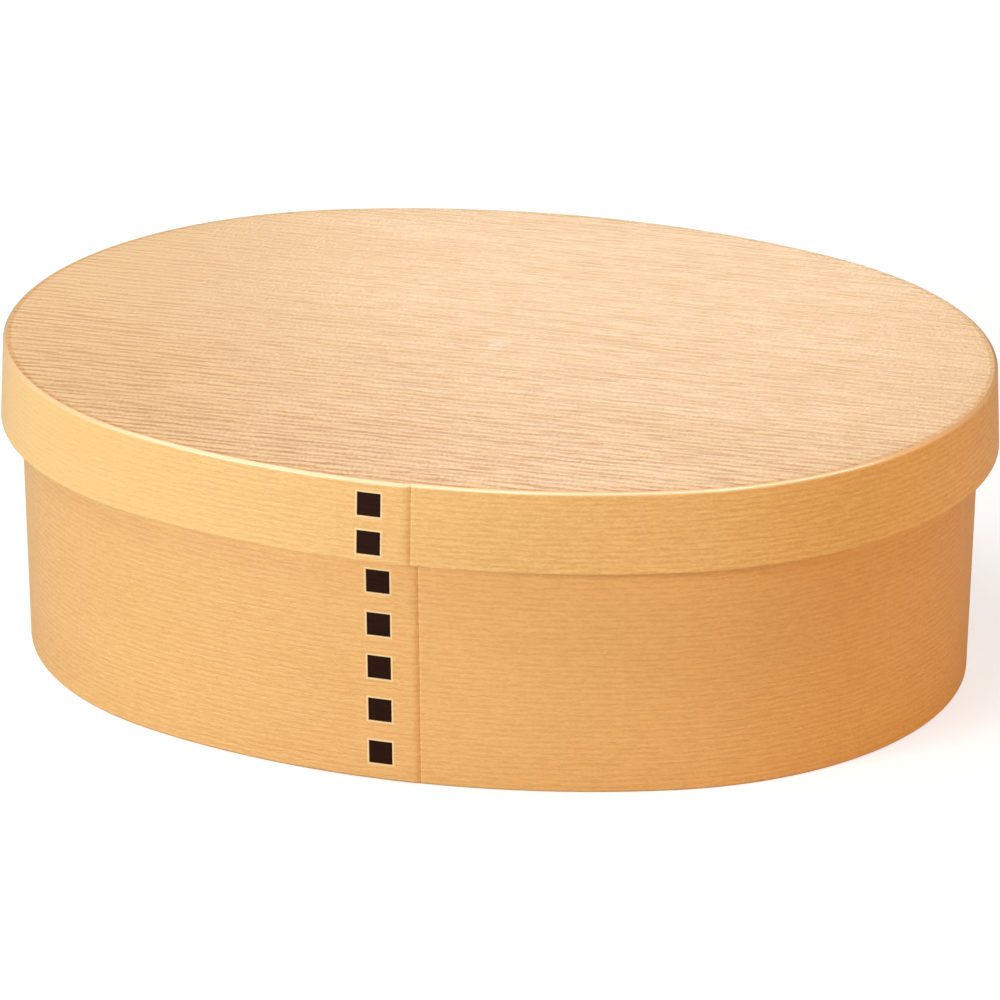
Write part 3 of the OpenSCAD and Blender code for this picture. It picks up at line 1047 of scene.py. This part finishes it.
WALL_GRAIN = {
    "ripples": ((70, 70, BAND / WALL_PITCH), "Z", 2.8, 2.0),
    "ripple_depth": (0.2, 0.5),
    "fade": (350, 350, 900),
    "streaks": (420, 420, 2.7 / WALL_PITCH / MM),
    "streak_depth": 0.75,
    "pores": (1500, 1500, 3200),
    "pore_depth": 0.3,
    "patches": (20, 20, 60),
    "hollow": (0.85, 0.76, 0.66),
    # The hollows darken a little more towards the right end, as painted shade
    "hollow_share_with_painted_shade": ("X", -LID_LENGTH / 2, LID_LENGTH / 2, 0.7, 0.8),
    "bump": 0.00006,
    "roughness": (0.52, 0.44),
}
SKIRT_GRAIN = {
    **WALL_GRAIN,
    # The skirt's hollows darken much more towards its right end, as painted shade
    "hollow_share_with_painted_shade": ("X", -LID_LENGTH * 0.4, LID_LENGTH * 0.1, 0.27, 1.0),
    "bump": 0.00004,
}

# The top's grain is paler than the walls' as painted light, and the body's deeper as painted shade
top_grain = grain_material("grain_along_top", TOP_TONES_WITH_PAINTED_LIGHT, TOP_GRAIN, TOP_GLOSS)
# The border's grain has darker tones, a painted shade along the edge of the top
border_grain_painted_shade = grain_material("grain_with_painted_border_shade", BORDER_TONES_PAINTED_SHADE, TOP_GRAIN, TOP_GLOSS)
skirt_grain = grain_material("grain_round_skirt", SKIRT_TONES, SKIRT_GRAIN, WALL_GLOSS)
body_grain = grain_material("grain_round_body", BODY_TONES_WITH_PAINTED_SHADE, WALL_GRAIN, WALL_GLOSS)
divider_grain = grain_material("grain_on_divider", DIVIDER_TONES, WALL_GRAIN, WALL_GLOSS)
# The lip round each stitch takes paler tones, a painted highlight
stitch_looks = [stitch_material(), polished_material("lip_with_painted_highlight", LIP_TONES_PAINTED_HIGHLIGHT, LIP_GLOSS)]
frosted = frosted_material()
polished_edge = polished_material("polished_edge", RIM_TONES, EDGE_GLOSS)

build_lid([top_grain, skirt_grain, polished_edge, border_grain_painted_shade])
build_body(top_grain, body_grain)
for number, height in enumerate(body_heights, start=1):
    node_name = f"body_stitch_{number}"
    build_stitch(f"{node_name}_tile", body_wall, height, stitch_looks, "box", node_name)
for number, height in enumerate(lid_heights, start=1):
    node_name = f"lid_stitch_{number}"
    build_stitch(f"{node_name}_tile", lid_wall, height, stitch_looks, "lid", node_name)
build_inner_lid(frosted)
build_grip(frosted)
build_gasket(silicone_material())
build_divider(divider_grain)
build_divider_foot(divider_grain)

# Camera at the photograph's angle, in millimetres and degrees
CAMERA_AZIMUTH = math.radians(15.518)
CAMERA_ELEVATION = math.radians(21.637)
CAMERA_ROLL = math.radians(0.292)
CAMERA_DISTANCE = 1324.228
CAMERA_AIM_ACROSS = 0.398
CAMERA_AIM_HEIGHT = 25.687
CAMERA_LENS = 281.32
CAMERA_SENSOR = 36.0
CAMERA_NEAR = 10.0
CAMERA_FAR = 100000.0

# The floor's reach in metres, its grey and roughness for the light that falls on it, and its glow for the
# camera, near the box and far from it, with the distances between which the glow changes
FLOOR_REACH = 3.0
FLOOR_GREY = 0.5
FLOOR_ROUGHNESS = 0.9
FLOOR_GLOW = (0.6, 1.0)
GLOW_REACH = (0.4, 0.8)
WORLD_LIGHT = 0.06

# The lamps: name, place, size, power, colour and spin. The strip and rim lamps lie along the line that
# the lid's front edge mirrors, which gives the edge its bright line
LAMPS = [
    ("key_lamp", (-0.8, -0.95, 0.36), (0.4, 0.2), 10.5, WHITE, 0),
    ("front_lamp", (-0.45, -1.15, 0.45), (0.4, 0.2), 3.9, WHITE, 0),
    ("strip_lamp", (0.12, -0.18, 1.15), (0.7, 0.13), 2.1, WHITE, -8),
    ("left_lamp", (-0.42, -0.2, 0.95), (0.9, 0.8), 6.0, WHITE, 0),
    ("rim_lamp", (0.6, 0.19, 1.15), (0.75, 0.12), 3.1, WHITE, -57),
    ("back_lamp", (-0.17, 0.8, 0.3), (0.2, 0.08), 0.41, WHITE, 0),
    ("warm_lamp", (1.0, -0.6, 0.15), (0.8, 0.3), 4.9, (1.0, 0.57, 0.15), 0),
    ("end_lamp", (1.2, 0.1, 0.2), (0.6, 0.3), 4.2, (1.0, 0.48, 0.04), 0),
]


def build_camera():
    """Camera on a sphere round the box, aimed near its middle, with a slight roll."""
    right = Vector((math.cos(CAMERA_AZIMUTH), math.sin(CAMERA_AZIMUTH), 0))
    level = math.cos(CAMERA_ELEVATION)
    back = Vector((math.sin(CAMERA_AZIMUTH) * level, -math.cos(CAMERA_AZIMUTH) * level,
                   math.sin(CAMERA_ELEVATION)))
    up = back.cross(right)
    eye = Vector((0, 0, CAMERA_AIM_HEIGHT)) + right * CAMERA_AIM_ACROSS + back * CAMERA_DISTANCE
    rolled_right = right * math.cos(CAMERA_ROLL) + up * math.sin(CAMERA_ROLL)
    rolled_up = up * math.cos(CAMERA_ROLL) - right * math.sin(CAMERA_ROLL)
    data = bpy.data.cameras.new("camera")
    data.lens = CAMERA_LENS
    data.sensor_width = CAMERA_SENSOR
    data.clip_start = CAMERA_NEAR * MM
    data.clip_end = CAMERA_FAR * MM
    camera = bpy.data.objects.new("camera", data)
    turn = Matrix((rolled_right, rolled_up, back)).transposed()
    camera.matrix_world = Matrix.Translation(eye * MM) @ turn.to_4x4()
    bpy.context.scene.collection.objects.link(camera)
    bpy.context.scene.camera = camera


def build_lamp(name, place, size, power, colour, spin):
    """Soft rectangular lamp in metres, watts and degrees, turned to the box and spun about its beam."""
    data = bpy.data.lights.new(name, "AREA")
    data.shape = "RECTANGLE"
    data.size, data.size_y = size
    data.energy = power
    data.color = colour
    lamp = bpy.data.objects.new(name, data)
    aim = Vector((0, 0, CAMERA_AIM_HEIGHT * MM)) - Vector(place)
    turn = aim.to_track_quat("-Z", "Y").to_matrix().to_4x4()
    spun = Matrix.Rotation(math.radians(spin), 4, "Z")
    lamp.matrix_world = Matrix.Translation(place) @ turn @ spun
    bpy.context.scene.collection.objects.link(lamp)


def add_seen_directly(tree):
    """1 for rays from the camera or through clear pieces, and 0 for the light on the object."""
    path = add_node(tree, "ShaderNodeLightPath")
    return add_math(tree, "MAXIMUM", path.outputs["Is Camera Ray"], path.outputs["Is Transmission Ray"])


def build_floor():
    """Pale floor that looks white, also behind the lamps, and keeps the box's shadow."""
    mesh = bpy.data.meshes.new("floor")
    signs = [(-1, -1), (1, -1), (1, 1), (-1, 1)]
    corners = [(x * FLOOR_REACH, y * FLOOR_REACH, 0) for x, y in signs]
    mesh.from_pydata(corners, [], [(0, 1, 2, 3)])
    floor = bpy.data.objects.new("floor", mesh)
    bpy.context.scene.collection.objects.link(floor)
    material, tree, shader = start_material("pale_floor")
    shader.inputs["Base Color"].default_value = (FLOOR_GREY, FLOOR_GREY, FLOOR_GREY, 1)
    shader.inputs["Roughness"].default_value = FLOOR_ROUGHNESS
    shader.inputs["Specular IOR Level"].default_value = 0.0
    shader.inputs["Emission Color"].default_value = (1, 1, 1, 1)
    glow = add_range(tree, add_distance(tree), *FLOOR_GLOW, *GLOW_REACH)
    seen_glow = add_math(tree, "MULTIPLY", add_seen_directly(tree), glow)
    tree.links.new(seen_glow, shader.inputs["Emission Strength"])
    mesh.materials.append(material)


def build_world():
    """Even white light all round, which looks plain white to the camera."""
    world = bpy.data.worlds.new("studio")
    world.use_nodes = True
    bpy.context.scene.world = world
    tree = world.node_tree
    background = tree.nodes["Background"]
    background.inputs["Color"].default_value = (1, 1, 1, 1)
    strength = add_range(tree, add_seen_directly(tree), WORLD_LIGHT, 1.0)
    tree.links.new(strength, background.inputs["Strength"])


build_camera()
build_floor()
build_world()
for lamp in LAMPS:
    build_lamp(*lamp)
bpy.context.scene.view_settings.view_transform = "Standard"
